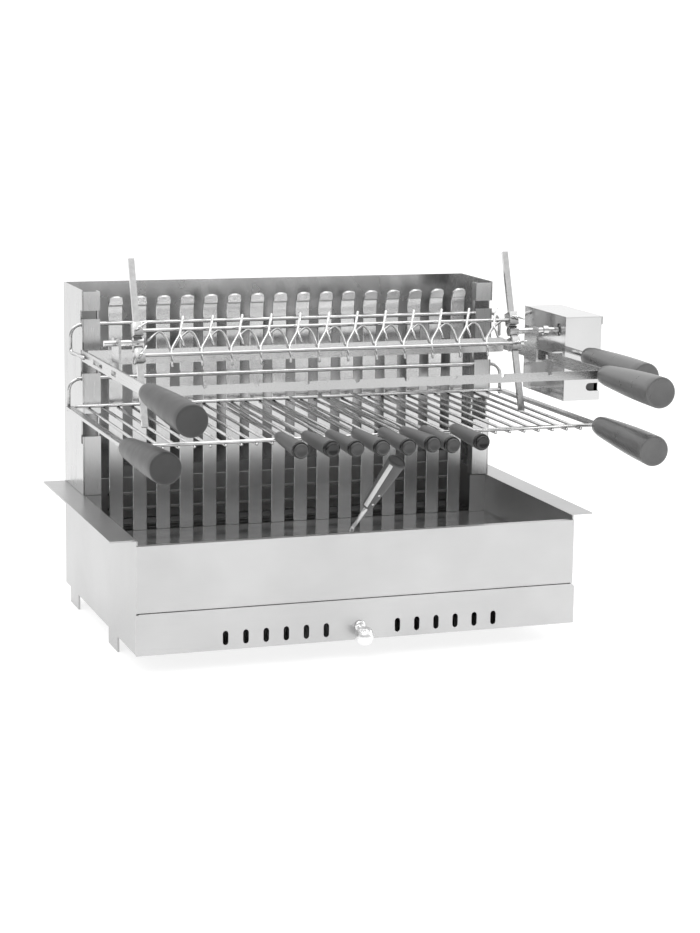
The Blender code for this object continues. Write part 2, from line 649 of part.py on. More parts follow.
# ---- the spit basket -------------------------------------------------------------------------
def make_upright(side, sign, finish):
    """A flat bar crossing the spit's axis, with its hub and its half of the shaft."""
    data = bmesh.new()
    spit_block(data, (sign * UPRIGHT_X - 0.004, -UPRIGHT_REACH, -0.0025),
               (sign * UPRIGHT_X + 0.004, UPRIGHT_REACH, 0.0025))
    item = add_object("spit_upright_" + side, data, "spit", finish)
    shaft = SHAFT_RADIUS
    profile = [(0, 0.0072), (0.0130, 0.0072), (0.0131, shaft)]
    if sign > 0:
        profile += [(0.0510, shaft), (0.0511, 0.0062), (0.0580, 0.0062), (0.0581, shaft), (0.0885, shaft)]
    else:
        profile += [(0.0515, shaft)]
    start = (sign * (UPRIGHT_X - 0.0065), SPIT_Y, SPIT_Z)
    combine(item, turned(profile, start, (sign, 0, 0), 12), "spit", "UNION")
    return smooth(item, 35)


def make_jaw(name, along, side, teeth, finish):
    """A rod between two clamps that slide on the uprights, with bent teeth welded to the rod."""
    clamps, bores = bmesh.new(), bmesh.new()
    for sign in (-1, 1):
        x = sign * UPRIGHT_X
        wide, high, deep = CLAMP_HALF_WIDTH, CLAMP_HALF_HEIGHT, CLAMP_HALF_DEPTH
        spit_block(clamps, (x - wide, along - high, -deep), (x + wide, along + high, deep))
        spit_block(bores, (x - 0.0043, along - 0.02, -0.0028), (x + 0.0043, along + 0.02, 0.0028))
    item = add_object(name, clamps, name, finish)
    combine(item, bores, name, "DIFFERENCE")
    reach = UPRIGHT_X - 0.0052
    rod = wire([in_spit(-reach, along, side), in_spit(reach, along, side)], 0.0025, 8)
    combine(item, rod, name, "UNION")
    combine(item, teeth, name, "UNION")
    return smooth(item, 35)


def arched_teeth():
    """One long wavy wire: slow rises to round peaks on the upper rod, then steep falls to dips."""
    points = []
    peak, reach = UPPER_JAW - 0.0012, UPRIGHT_X - 0.0095
    bends = ((-0.0170, 0.53), (-0.0062, 0.88), (0.0, 1.0), (0.0052, 0.84), (0.0095, 0.48), (0.0122, 0.0))
    for index in range(TOOTH_COUNT + 1):
        x = (index - TOOTH_COUNT / 2) * TOOTH_PITCH + 0.0095
        for ahead, share in bends:
            if index < TOOTH_COUNT or ahead <= 0:
                along = TOOTH_DIP + (peak - TOOTH_DIP) * share
                side = JAW_SIDE + 0.0003 + 0.0003 * (-1) ** index
                points.append(in_spit(max(-reach, min(reach, x + ahead)), along, side))
    return wire(points, TOOTH_RADIUS, 6)


def pronged_teeth():
    """Wires that rise through the lower rod, run over to a knee and stand up; a tine hangs from each knee."""
    prongs, tines = bmesh.new(), bmesh.new()
    for index in range(TOOTH_COUNT):
        x = (index - TOOTH_COUNT / 2) * TOOTH_PITCH + 0.0190
        knee = in_spit(x + 0.0136, 0.0080, -JAW_SIDE)
        points = [in_spit(x, -0.0350, -JAW_SIDE), in_spit(x, TOOTH_DIP, -JAW_SIDE), knee,
                  in_spit(x + 0.0155, 0.0160, -JAW_SIDE), in_spit(x + 0.0200, 0.0320, -JAW_SIDE)]
        add_wire(prongs, points, TOOTH_RADIUS, 6)
        add_wire(tines, [knee, in_spit(x + 0.0176, -0.0080, -JAW_SIDE)], TOOTH_RADIUS * 0.9, 6)
    return prongs, tines


def screw_seat(sign, along):
    """Where a clamping screw meets the front face of its clamp."""
    return in_spit(sign * UPRIGHT_X, along, -CLAMP_HALF_DEPTH - GAP)


def make_jaw_screw(name, sign, along, finish):
    """A clamping screw out of the clamp's front face, with a cross bar pushed over to one side."""
    start = screw_seat(sign, along)
    front = in_spit(0, 0, -1) - in_spit(0, 0, 0)
    shank = [(0, 0.0022), (SCREW_LENGTH, 0.0022)]
    item = add_object(name, turned(shank, start, front, 10), name, finish)
    tilt = math.radians(SCREW_TILT[name])
    line = X_AXIS * math.cos(tilt) + (in_spit(0, 1, 0) - in_spit(0, 0, 0)) * math.sin(tilt)
    middle = start + front * (SCREW_LENGTH - 0.0022)
    combine(item, wire([middle - line * 0.0045, middle + line * 0.0125], 0.0014, 8), name, "UNION")
    return smooth(item, 35)


def jaw_screws():
    """Jaw, name, side of the spit and height of the four clamping screws."""
    for jaw, along in (("upper", UPPER_JAW), ("lower", LOWER_JAW)):
        for end, sign in (("left", -1), ("right", 1)):
            yield jaw, jaw + "_screw_" + end, sign, along


def make_spit(bar_finish, wire_finish):
    make_upright("left", -1, bar_finish)
    make_upright("right", 1, bar_finish)
    upper = make_jaw("upper_jaw", UPPER_JAW, JAW_SIDE, arched_teeth(), wire_finish)
    upper.modifiers.new("triangles", "TRIANGULATE").ngon_method = "BEAUTY"
    prongs, tines = pronged_teeth()
    lower = make_jaw("lower_jaw", LOWER_JAW, -JAW_SIDE, prongs, wire_finish)
    combine(lower, tines, "lower_jaw", "UNION")
    for _, name, sign, along in jaw_screws():
        make_jaw_screw(name, sign, along, bar_finish)


# ---- skewers and the lifting tool ------------------------------------------------------------
def skewer_root(x):
    """Where a skewer's grip starts, with its blade resting on the grill's front rail."""
    return Vector((x, SKEWER_ROOT_Y, GRILL_ROD_Z + 0.0037 + 0.0025 + SKEWER_RADIUS + GAP))


def make_skewer(number, x, drift, rise, blade_finish, grip_finish):
    body = "skewer_%d" % number
    root, out = skewer_root(x), Vector((drift, -1, rise)).normalized()
    grip = [(0, 0.0044), (0.003, 0.0068), (0.055, 0.0090), (0.104, 0.0105), (0.1075, 0.0105), (0.1080, 0.0086),
            (0.1120, 0.0084), (0.1130, 0.0070)]
    smooth(add_object("skewer_handle_%d" % number, turned(grip, root, out, 16), body, grip_finish))
    blade = [(GAP, SKEWER_RADIUS), (0.285, SKEWER_RADIUS), (0.300, 0.0004)]
    smooth(add_object("skewer_blade_%d" % number, turned(blade, root, -out, 6), body, blade_finish))


def make_tool(grip_finish, wire_finish):
    """The lifting hook: a tapering grip on a wire that bends down behind the front panel."""
    top, low = Vector(TOOL_TOP), Vector(TOOL_LOW)
    up = (top - low).normalized()
    length = (top - low).length
    grip = [(0, 0.0060), (0.004, 0.0072), (length * 0.5, 0.0096), (length - 0.003, 0.0122), (length, 0.0112)]
    smooth(add_object("tool_handle", turned(grip, low, up, 16), "tool", grip_finish))
    start = low - up * GAP
    path = [start, start - up * 0.017, (-0.0095, 0.0035, 0.1540), (-0.0105, 0.0125, 0.1480),
            (-0.0105, 0.0160, 0.1400), (-0.0105, 0.0160, 0.1150)]
    smooth(add_object("tool_rod", wire(path, 0.0030, 8), "tool", wire_finish))


# ---- everything ------------------------------------------------------------------------------
def make_bodies():
    add_body("root", (0, 0, 0))
    add_body("drawer", (0, 0, 0.024), "root")
    add_body("grill", (0, HOOK_Y, GRILL_HOOK_Z), "root")
    add_body("carrier", (0, HOOK_Y, CARRIER_HOOK_Z), "root")
    add_body("spit", (0, SPIT_Y, SPIT_Z), "carrier")
    add_body("upper_jaw", in_spit(0, UPPER_JAW, 0), "spit")
    add_body("lower_jaw", in_spit(0, LOWER_JAW, 0), "spit")
    for jaw, name, sign, along in jaw_screws():
        add_body(name, screw_seat(sign, along), jaw + "_jaw")
    for number, (x, _, _) in enumerate(SKEWERS, start=1):
        add_body("skewer_%d" % number, skewer_root(x), "grill")
    add_body("tool", TOOL_LOW, "root")


def main():
    clear_scene()
    make_bodies()
    satin = steel("satin_steel", 0.72, 0.34)
    mirror = steel("polished_steel", 0.70, 0.16)
    bright = steel("bright_wire", 0.80, 0.12)
    bar = steel("bar_steel", 0.66, 0.30)
    dark = steel("motor_grey", 0.10, 0.50, 0.2)
    grip = steel("handle_grey", 0.05, 0.42, 0.0)
    black = steel("grip_black", 0.02, 0.35, 0.0)

    make_trough(satin)
    make_front_panel(satin)
    make_back_reflector(mirror)
    for side, sign in (("left", -1), ("right", 1)):
        make_rack_post("rack_post_" + side, sign, satin)
        make_foot("foot_front_" + side, sign, 0.120, satin)
        make_foot("foot_rear_" + side, sign, 0.352, satin)
    make_hearth_plate(mirror)
    make_charcoal_grate(bar)
    make_fire_grate(bar)
    make_ash_drawer(satin)
    make_drawer_knob(mirror)
    make_grill(bar, bright, grip)
    make_carrier(bar, bright, grip)
    make_motor(mirror, dark, mirror, grip)
    make_spit(bar, bright)
    for number, (x, drift, rise) in enumerate(SKEWERS, start=1):
        make_skewer(number, x, drift, rise, bright, black)
    make_tool(black, bar)


main()
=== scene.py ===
"""The roaster's looks: finished wires, handles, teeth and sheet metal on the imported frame."""
import math

import bmesh
import bpy
from mathutils import Matrix, Vector


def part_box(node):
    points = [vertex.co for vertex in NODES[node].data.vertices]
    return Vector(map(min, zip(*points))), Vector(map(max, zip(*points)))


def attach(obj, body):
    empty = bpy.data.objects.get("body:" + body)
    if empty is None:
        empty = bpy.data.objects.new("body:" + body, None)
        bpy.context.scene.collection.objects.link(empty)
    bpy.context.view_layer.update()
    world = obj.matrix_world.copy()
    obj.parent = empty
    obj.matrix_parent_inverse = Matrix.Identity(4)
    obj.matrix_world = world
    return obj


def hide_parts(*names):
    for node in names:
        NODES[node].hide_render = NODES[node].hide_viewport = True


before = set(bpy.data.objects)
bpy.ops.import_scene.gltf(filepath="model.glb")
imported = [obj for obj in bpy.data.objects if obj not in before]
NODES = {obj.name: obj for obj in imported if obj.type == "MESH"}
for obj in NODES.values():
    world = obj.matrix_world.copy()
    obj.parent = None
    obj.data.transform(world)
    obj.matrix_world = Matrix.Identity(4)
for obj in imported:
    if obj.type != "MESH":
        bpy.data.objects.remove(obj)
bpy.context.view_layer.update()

X_AXIS, Y_AXIS, Z_AXIS = Vector((1, 0, 0)), Vector((0, 1, 0)), Vector((0, 0, 1))

# ---- the frame's main lines, in metres ---------------------------------------------------------
FRONT = -0.207                 # the box's front face
FLOOR_Z = -0.0262
HOOK_Y = 0.0970
SPIT = Vector((0.0, -0.0698, 0.3794))
SPIT_LEAN = math.radians(19.05)
UPRIGHT_X = 0.263
JAW_SIDE = 0.0065
CLAMP_HALF_WIDTH = 0.0062
CLAMP_HALF_HEIGHT = 0.0088
CLAMP_HALF_DEPTH = 0.0095
UPPER_JAW, LOWER_JAW = 0.0170, -0.0180
TOOTH_COUNT, TOOTH_PITCH = 12, 0.0401
TOOTH_RADIUS, TOOTH_DIP = 0.0018, -0.0120
GRILL_ROD_Z = 0.270
# Painted shade on the fire bars and their ties: darker towards the bottom of the fire chamber and towards the bent
# tips.
BAR_PAINTED_SHADE = ((0.094, 0.62), (0.20, 0.78), (0.30, 0.92), (0.36, 1.0), (0.395, 0.95), (0.424, 0.70))
# Painted shade on the bright wires, by the normal's height: darkest underneath, a little darker right on top.
WIRE_PAINTED_SHADE = ((-1.0, 0.25), (-0.45, 0.35), (-0.1, 0.78), (0.35, 1.0), (0.75, 1.0), (0.93, 0.85), (1.0, 0.70))


# ---- camera, floor and light -------------------------------------------------------------------
def make_camera():
    yaw, pitch, roll = 0.342, 0.188, 0.015
    forward = Vector((math.sin(yaw) * math.cos(pitch), math.cos(yaw) * math.cos(pitch), -math.sin(pitch)))
    level = Vector((math.cos(yaw), -math.sin(yaw), 0))
    upward = level.cross(forward)
    right = level * math.cos(roll) + upward * math.sin(roll)
    above = upward * math.cos(roll) - level * math.sin(roll)
    data = bpy.data.cameras.new("camera")
    data.sensor_width = 36
    data.lens = 85.9
    data.clip_end = 60
    camera = bpy.data.objects.new("camera", data)
    turn = Matrix((right, above, -forward)).transposed().to_4x4()
    camera.matrix_world = Matrix.Translation((-0.9584, -2.8454, 0.7630)) @ turn
    bpy.context.scene.collection.objects.link(camera)
    bpy.context.scene.camera = camera


def make_floor():
    mesh = bpy.data.meshes.new("floor")
    size = 14
    corners = [(-size, -size, FLOOR_Z), (size, -size, FLOOR_Z), (size, size, FLOOR_Z), (-size, size, FLOOR_Z)]
    mesh.from_pydata(corners, [], [(0, 1, 2, 3)])
    floor = bpy.data.objects.new("floor", mesh)
    bpy.context.scene.collection.objects.link(floor)
    material, shader, _ = new_material("floor_white")
    shader.inputs["Base Color"].default_value = (0.45, 0.45, 0.45, 1)
    shader.inputs["Roughness"].default_value = 0.9
    shader.inputs["Specular IOR Level"].default_value = 0.1
    shader.inputs["Emission Color"].default_value = (1, 1, 1, 1)
    shader.inputs["Emission Strength"].default_value = 0.72
    mesh.materials.append(material)


def make_world():
    """A pale surround: white behind and above, with a soft dark band low in front for reflections."""
    world = bpy.data.worlds.new("studio")
    bpy.context.scene.world = world
    world.use_nodes = True
    tree = world.node_tree
    tree.nodes.clear()
    place = add_node(tree, "ShaderNodeTexCoord")
    split = add_node(tree, "ShaderNodeSeparateXYZ")
    tree.links.new(place.outputs["Generated"], split.inputs[0])
    facing = remap(tree, split.outputs["Y"], 0.0, 1.0, -0.35, 0.15)
    height = remap(tree, split.outputs["Z"], 0.0, 1.0, 0.22, 0.60)
    bright = add_node(tree, "ShaderNodeMath", operation="MAXIMUM")
    tree.links.new(facing, bright.inputs[0])
    tree.links.new(height, bright.inputs[1])
    shade = ramp(tree, bright.outputs[0], 0.30, 1.0, 0.0, 1.0)
    back = add_node(tree, "ShaderNodeBackground")
    back.inputs["Strength"].default_value = 1.12
    tree.links.new(shade, back.inputs["Color"])
    out = add_node(tree, "ShaderNodeOutputWorld")
    tree.links.new(back.outputs[0], out.inputs[0])


def make_area(name, place, target, size, power):
    data = bpy.data.lights.new(name, "AREA")
    data.shape = "RECTANGLE"
    data.size, data.size_y = size
    data.energy = power
    light = bpy.data.objects.new(name, data)
    light.location = place
    light.rotation_euler = (Vector(target) - Vector(place)).to_track_quat("-Z", "Y").to_euler()
    bpy.context.scene.collection.objects.link(light)


def make_lights():
    make_area("key", (-1.4, -2.2, 2.8), (0, 0, 0.2), (2.6, 1.8), 26)
    make_area("top", (0.3, 0.1, 2.6), (0, 0, 0.2), (2.4, 1.8), 18)
    make_area("right", (2.4, -1.0, 1.1), (0.2, 0, 0.3), (1.0, 1.4), 14)


# ---- materials ---------------------------------------------------------------------------------
def new_material(name):
    material = bpy.data.materials.new(name)
    material.use_nodes = True
    return material, material.node_tree.nodes["Principled BSDF"], material.node_tree


def add_node(tree, kind, **settings):
    node = tree.nodes.new(kind)
    for key, value in settings.items():
        setattr(node, key, value)
    return node


def noise(tree, scale, detail=4.0, stretch=(1, 1, 1)):
    """Noise in the piece's own coordinates, in metres, stretched along an axis for a drawn grain."""
    coords = add_node(tree, "ShaderNodeTexCoord")
    mapping = add_node(tree, "ShaderNodeMapping")
    mapping.inputs["Scale"].default_value = stretch
    texture = add_node(tree, "ShaderNodeTexNoise")
    texture.inputs["Scale"].default_value = scale
    texture.inputs["Detail"].default_value = detail
    tree.links.new(coords.outputs["Object"], mapping.inputs["Vector"])
    tree.links.new(mapping.outputs[0], texture.inputs["Vector"])
    return texture.outputs["Fac"]


def ramp(tree, value, low, high, start=0.35, end=0.65):
    """A grey or colour that runs from low to high as value crosses start to end."""
    node = add_node(tree, "ShaderNodeValToRGB")
    node.color_ramp.elements[0].position = start
    node.color_ramp.elements[1].position = end
    for element, shade in zip(node.color_ramp.elements, (low, high)):
        element.color = (*shade, 1) if isinstance(shade, tuple) else (shade, shade, shade, 1)
    tree.links.new(value, node.inputs[0])
    return node.outputs[0]


def remap(tree, value, low, high, start=0.3, end=0.7):
    node = add_node(tree, "ShaderNodeMapRange")
    node.inputs["From Min"].default_value = start
    node.inputs["From Max"].default_value = end
    node.inputs["To Min"].default_value = low
    node.inputs["To Max"].default_value = high
    tree.links.new(value, node.inputs["Value"])
    return node.outputs[0]


def multiply(tree, first, second):
    node = add_node(tree, "ShaderNodeMix", data_type="RGBA", blend_type="MULTIPLY")
    node.inputs["Factor"].default_value = 1
    tree.links.new(first, node.inputs["A"])
    tree.links.new(second, node.inputs["B"])
    return node.outputs["Result"]


def bump(tree, shader, height, strength, distance):
    node = add_node(tree, "ShaderNodeBump")
    node.inputs["Strength"].default_value = strength
    node.inputs["Distance"].default_value = distance
    tree.links.new(height, node.inputs["Height"])
    tree.links.new(node.outputs[0], shader.inputs["Normal"])


def axis_shade(tree, stops, source="Object", axis="Z"):
    """A grey that follows one axis of the place or of the normal, through (value, grey) stops."""
    coords = add_node(tree, "ShaderNodeTexCoord")
    split = add_node(tree, "ShaderNodeSeparateXYZ")
    tree.links.new(coords.outputs[source], split.inputs[0])
    first, last = stops[0][0], stops[-1][0]
    level = remap(tree, split.outputs[axis], 0.0, 1.0, first, last)
    shade = ramp(tree, level, stops[0][1], stops[-1][1], 0.0, 1.0)
    elements = shade.node.color_ramp.elements
    for value, grey in stops[1:-1]:
        elements.new((value - first) / (last - first)).color = (grey, grey, grey, 1)
    return shade


def sheet_steel(name, shade, roughness, grain=(1, 60, 60), painted_height_shade=None):
    """Drawn stainless sheet: a fine grain one way, with soft cloudy variation over it, and painted shade along its
    height when height stops are given.
    """
    material, shader, tree = new_material(name)
    shader.inputs["Metallic"].default_value = 1.0
    cloud = noise(tree, 9, 3)
    colour = ramp(tree, cloud, shade * 0.95, shade * 1.03)
    # painted shade: the colour is darkened along the height by the given stops
    if painted_height_shade:
        colour = multiply(tree, colour, axis_shade(tree, painted_height_shade))
    tree.links.new(colour, shader.inputs["Base Color"])
    lines = noise(tree, 28, 5, grain)
    tree.links.new(remap(tree, lines, roughness * 0.85, roughness * 1.2), shader.inputs["Roughness"])
    bump(tree, shader, lines, 0.05, 0.0002)
    return material


def polished_steel(name, shade, roughness):
    """Mirror sheet with faint wipe marks and a very slight waviness."""
    material, shader, tree = new_material(name)
    shader.inputs["Metallic"].default_value = 1.0
    wipe = noise(tree, 14, 5, (1, 3, 1))
    tree.links.new(ramp(tree, wipe, shade * 0.93, shade * 1.04), shader.inputs["Base Color"])
    tree.links.new(remap(tree, wipe, roughness * 0.6, roughness * 1.6), shader.inputs["Roughness"])
    bump(tree, shader, noise(tree, 5, 1), 0.10, 0.002)
    return material


def wire_steel(name, shade, roughness, edges=None):
    """Bright plated wire with faint drawing lines and specks, with painted shade by the normal's height when stops are
    given: darkest on its undersides.
    """
    material, shader, tree = new_material(name)
    shader.inputs["Metallic"].default_value = 1.0
    specks = noise(tree, 160, 4)
    colour = ramp(tree, specks, shade * 0.90, shade * 1.03)
    # painted shade: the colour darkens where the normal points down, and a little right on top
    if edges:
        colour = multiply(tree, colour, axis_shade(tree, edges, "Normal"))
    tree.links.new(colour, shader.inputs["Base Color"])
    tree.links.new(remap(tree, specks, roughness * 0.7, roughness * 1.5), shader.inputs["Roughness"])
    bump(tree, shader, noise(tree, 420, 3), 0.04, 0.0001)
    return material


def satin_handle(name, shade, roughness, gloss=0.5):
    """Smooth dark moulding: slight mottling, fine pores, and gloss that varies a little."""
    material, shader, tree = new_material(name)
    mottle = noise(tree, 55, 4)
    tree.links.new(ramp(tree, mottle, shade * 0.88, shade * 1.10), shader.inputs["Base Color"])
    tree.links.new(remap(tree, mottle, roughness * 0.9, roughness * 1.15), shader.inputs["Roughness"])
    shader.inputs["Specular IOR Level"].default_value = gloss
    bump(tree, shader, noise(tree, 900, 2), 0.06, 0.0002)
    return material


# ---- mesh helpers ------------------------------------------------------------------------------
def add_piece(name, data, body, material, replaces=(), angle=35):
    """Turn a bmesh into a piece that rides on a body and may stand for CAD nodes."""
    bmesh.ops.recalc_face_normals(data, faces=data.faces)
    mesh = bpy.data.meshes.new(name)
    data.to_mesh(mesh)
    data.free()
    mesh.materials.append(material)
    mesh.shade_smooth()
    mesh.set_sharp_from_angle(angle=math.radians(angle))
    piece = bpy.data.objects.new(name, mesh)
    bpy.context.scene.collection.objects.link(piece)
    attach(piece, body)
    if replaces:
        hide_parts(*replaces)
    return piece


def square_to(direction, side):
    first = (side - direction * side.dot(direction)).normalized()
    return first, direction.cross(first)


def fillet(points, radius, steps=6):
    """Round a path's inner corners with short curves of about the given radius."""
    points = [Vector(point) for point in points]
    path = [points[0]]
    for before, corner, after in zip(points, points[1:], points[2:]):
        inward, outward = (before - corner), (after - corner)
        reach = min(radius, inward.length * 0.48, outward.length * 0.48)
        start, end = corner + inward.normalized() * reach, corner + outward.normalized() * reach
        for step in range(steps + 1):
            share = step / steps
            path.append(start * (1 - share) ** 2 + corner * 2 * share * (1 - share) + end * share ** 2)
    path.append(points[-1])
    return path


def add_tube(data, points, radius, sides=12, crown=0.45):
    """A round wire along a path, with slightly domed ends."""
    points = [Vector(point) for point in points]
    start, end = (points[1] - points[0]).normalized(), (points[-1] - points[-2]).normalized()
    side = Z_AXIS if abs(start.z) < 0.9 else X_AXIS
    dome = [(0.0, 0.25), (crown * 0.55, 0.70), (crown, 1.0)]
    stations = [(points[0] + start * radius * (step - crown), start, scale) for step, scale in dome[:-1]]
    stations.append((points[0], start, 1.0))
    for before, point, after in zip(points, points[1:], points[2:]):
        stations.append((point, ((point - before).normalized() + (after - point).normalized()).normalized(), 1.0))
    stations.append((points[-1], end, 1.0))
    stations += [(points[-1] + end * radius * (crown - step), end, scale) for step, scale in reversed(dome[:-1])]
    rings = []
    for centre, direction, scale in stations:
        side, across = square_to(direction, side)
        ring = []
        for corner in range(sides):
            turn = 2 * math.pi * corner / sides
            ring.append(data.verts.new(centre + (side * math.cos(turn) + across * math.sin(turn)) * radius * scale))
        rings.append(ring)
    skin_rings(data, rings)


def skin_rings(data, rings):
    sides = len(rings[0])
    for before, after in zip(rings, rings[1:]):
        for corner in range(sides):
            following = (corner + 1) % sides
            data.faces.new((before[corner], before[following], after[following], after[corner]))
    data.faces.new(list(reversed(rings[0])))
    data.faces.new(rings[-1])


def add_turned(data, profile, start, direction, sides=40):
    """A closed turned shape from (distance along direction, radius) pairs."""
    direction = Vector(direction).normalized()
    side, across = square_to(direction, Z_AXIS if abs(direction.z) < 0.9 else X_AXIS)
    rings = []
    for distance, radius in profile:
        centre = Vector(start) + direction * distance
        ring = []
        for corner in range(sides):
            turn = 2 * math.pi * corner / sides
            ring.append(data.verts.new(centre + (side * math.cos(turn) + across * math.sin(turn)) * radius))
        rings.append(ring)
    skin_rings(data, rings)


def add_slab(data, outline, offset, bevel=0.0004):
    """A closed outline pushed along an offset, with its edges eased."""
    face = data.faces.new([data.verts.new(Vector(point)) for point in outline])
    result = bmesh.ops.extrude_face_region(data, geom=[face])
    moved = [item for item in result["geom"] if isinstance(item, bmesh.types.BMVert)]
    bmesh.ops.translate(data, vec=Vector(offset), verts=moved)
    if bevel:
        edges = {edge for vert in moved for edge in vert.link_edges}
        edges |= {edge for vert in face.verts for edge in vert.link_edges}
        bmesh.ops.bevel(data, geom=list(edges), offset=bevel, segments=2, affect="EDGES", profile=0.6)


def add_block(data, low, high, bevel=0.0004):
    (x0, y0, z0), (x1, y1, z1) = low, high
    add_slab(data, [(x0, y0, z0), (x1, y0, z0), (x1, y0, z1), (x0, y0, z1)], (0, y1 - y0, 0), bevel)


def in_spit(x, along, side):
    """A point by the spit, along its uprights and to their back side."""
    y = SPIT.y + along * math.sin(SPIT_LEAN) + side * math.cos(SPIT_LEAN)
    z = SPIT.z + along * math.cos(SPIT_LEAN) - side * math.sin(SPIT_LEAN)
    return Vector((x, y, z))


# ---- pieces ------------------------------------------------------------------------------------
def make_grill_grid(wire):
    low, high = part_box("grill_grid")
    back_y, front_y = high[1] - 0.0026, low[1] + 0.0026
    data = bmesh.new()
    for y in (back_y, front_y):
        z = GRILL_ROD_Z + 0.0037
        add_tube(data, [(low[0] + 0.001, y, z), (0, y, z), (high[0] - 0.001, y, z)], 0.0025, 14)
    count, pitch = 30, 0.0202
    for index in range(count):
        x = (index - (count - 1) / 2) * pitch
        ends = [(x, back_y + 0.0016, GRILL_ROD_Z), (x, 0, GRILL_ROD_Z), (x, front_y - 0.0026, GRILL_ROD_Z)]
        add_tube(data, ends, 0.0020, 12, 0.7)
    add_piece("grill_rods", data, "grill", wire, ["grill_grid"], 60)


def make_hook_wires(wire):
    x, top, low = 0.318, 0.310, GRILL_ROD_Z - 0.0035
    path = fillet([(-x, HOOK_Y, low), (-x, HOOK_Y, top), (x, HOOK_Y, top), (x, HOOK_Y, low)], 0.019, 10)
    data = bmesh.new()
    add_tube(data, path, 0.0027, 16)
    add_piece("grill_hook", data, "grill", wire, ["grill_hook_wire"], 60)
    x, top, beside, level = 0.315, 0.384, 0.303 + 0.0015 + 0.0003 + 0.0027, 0.3445
    half = [(-beside, 0.0495, level), (-beside, 0.083, level), (-x, HOOK_Y, level + 0.001), (-x, HOOK_Y, top)]
    path = half + [(-px, py, pz) for px, py, pz in reversed(half)]
    data = bmesh.new()
    add_tube(data, fillet(path, 0.019, 10), 0.0027, 16)
    add_piece("carrier_hook", data, "carrier", wire, ["carrier_hook_wire"], 60)


def handle_profile(length, root=0.0085, full=0.0195):
    """A bottle-shaped grip: domed root, gentle swell, flat end with a small eased rim."""
    profile = [(0.0, root * 0.55), (0.0006, root * 0.85), (0.0020, root * 1.18), (0.0045, root * 1.42)]
    for step in range(1, 15):
        share = step / 14
        radius = 0.0130 + (full - 0.0130) * math.sin(share * math.pi / 2)
        profile.append((0.0045 + (length - 0.0065) * share, radius))
    profile += [(length - 0.0010, full - 0.0003), (length - 0.0003, full - 0.0010), (length, full - 0.0020)]
    profile += [(length - 0.0003, full - 0.0035), (length - 0.0003, 0.0003)]
    return profile


HANDLES = (
    ("grill_handle_left", "grill", (-0.318, -0.2335, 0.2740), (0.0244, -1, 0.0235), 0.170),
    ("grill_handle_right", "grill", (0.318, -0.2335, 0.2740), (-0.0319, -1, -0.0279), 0.170),
    ("carrier_handle_left", "carrier", (-0.303, -0.2743, 0.3475), (0.0459, -1, -0.0420), 0.175),
    ("carrier_handle_right", "carrier", (0.303, -0.2743, 0.3475), (-0.0480, -1, 0.0163), 0.175),
    ("motor_handle", "carrier", (0.340, -0.1462, 0.3530), (-0.0042, -1, -0.0278), 0.175),
)
# Each skewer: x where its grip starts, then its drift in x and in z per metre towards its end.
SKEWERS = ((-0.1240, -0.062, 0.015), (-0.0895, -0.014, 0.015), (-0.0577, -0.018, 0.002), (-0.0230, -0.031, 0.0),
           (0.0127, -0.044, -0.008), (0.0418, -0.014, 0.013), (0.0690, -0.026, -0.007), (0.1108, -0.049, 0.009))


def make_handles(shaded, lit):
    """Grips: those on the right stand in more light, so they get a paler, glossier copy of the finish: painted light.
    """
    for name, body, root, direction, length in HANDLES:
        finish = lit if root[0] > 0 else shaded
        data = bmesh.new()
        add_turned(data, handle_profile(length), root, direction, 48)
        add_piece(name + "_grip", data, body, finish, [name], 50)


def make_skewers(wire, body_finish, ring_finish, button_finishes):
    """Tapering grips, each with a glossy ring and a raised button on its end, and a thin round blade."""
    height = GRILL_ROD_Z + 0.0037 + 0.0025 + 0.0022 + 0.0003
    for number, (x, drift, rise) in enumerate(SKEWERS, start=1):
        root = Vector((x, FRONT - 0.0285, height))
        out = Vector((drift, -1, rise)).normalized()
        body = "skewer_%d" % number
        data = bmesh.new()
        profile = [(0.0, 0.0030), (0.0004, 0.0044), (0.0014, 0.0058), (0.0032, 0.0069), (0.012, 0.0074),
                   (0.035, 0.0083), (0.060, 0.0092), (0.085, 0.0100), (0.1000, 0.0104), (0.1036, 0.0105)]
        add_turned(data, profile, root, out, 36)
        add_piece("skewer_grip_%d" % number, data, body, body_finish,
                  ["skewer_handle_%d" % number], 40)
        ring = bmesh.new()
        profile = [(0.1037, 0.0095), (0.1039, 0.0104), (0.1044, 0.0105), (0.1068, 0.0105), (0.1077, 0.0101),
                   (0.1081, 0.0093), (0.1080, 0.0082)]
        add_turned(ring, profile, root, out, 36)
        add_piece("skewer_ring_%d" % number, ring, body, ring_finish, (), 50)
        button = bmesh.new()
        profile = [(0.1082, 0.0084), (0.1105, 0.0085), (0.1120, 0.0082), (0.1127, 0.0074), (0.1130, 0.0062),
                   (0.1126, 0.0056), (0.1126, 0.0003)]
        add_turned(button, profile, root, out, 36)
        finish = button_finishes[number in (2, 8)]
        add_piece("skewer_button_%d" % number, button, body, finish, (), 50)
        blade = bmesh.new()
        profile = [(0.0003, 0.0030), (0.0030, 0.0030), (0.0034, 0.0022), (0.285, 0.0022), (0.299, 0.0005)]
        add_turned(blade, profile, root, -out, 12)
        add_piece("skewer_rod_%d" % number, blade, body, wire, ["skewer_blade_%d" % number], 50)


def clamp(data, sign, along):
    """A jaw's sleeve on an upright: an eased block in four walls round a square hole."""
    x = sign * UPRIGHT_X
    wide, high, deep = CLAMP_HALF_WIDTH, CLAMP_HALF_HEIGHT, CLAMP_HALF_DEPTH
    walls = (((-wide, -deep), (-0.0043, deep)), ((0.0043, -deep), (wide, deep)),
             ((-0.0050, -deep), (0.0050, -0.0028)), ((-0.0050, 0.0028), (0.0050, deep)))
    for (x0, side0), (x1, side1) in walls:
        outline = [in_spit(x + x0, along - high, side0), in_spit(x + x0, along + high, side0),
                   in_spit(x + x0, along + high, side1), in_spit(x + x0, along - high, side1)]
        add_slab(data, outline, (x1 - x0, 0, 0), 0.0006)


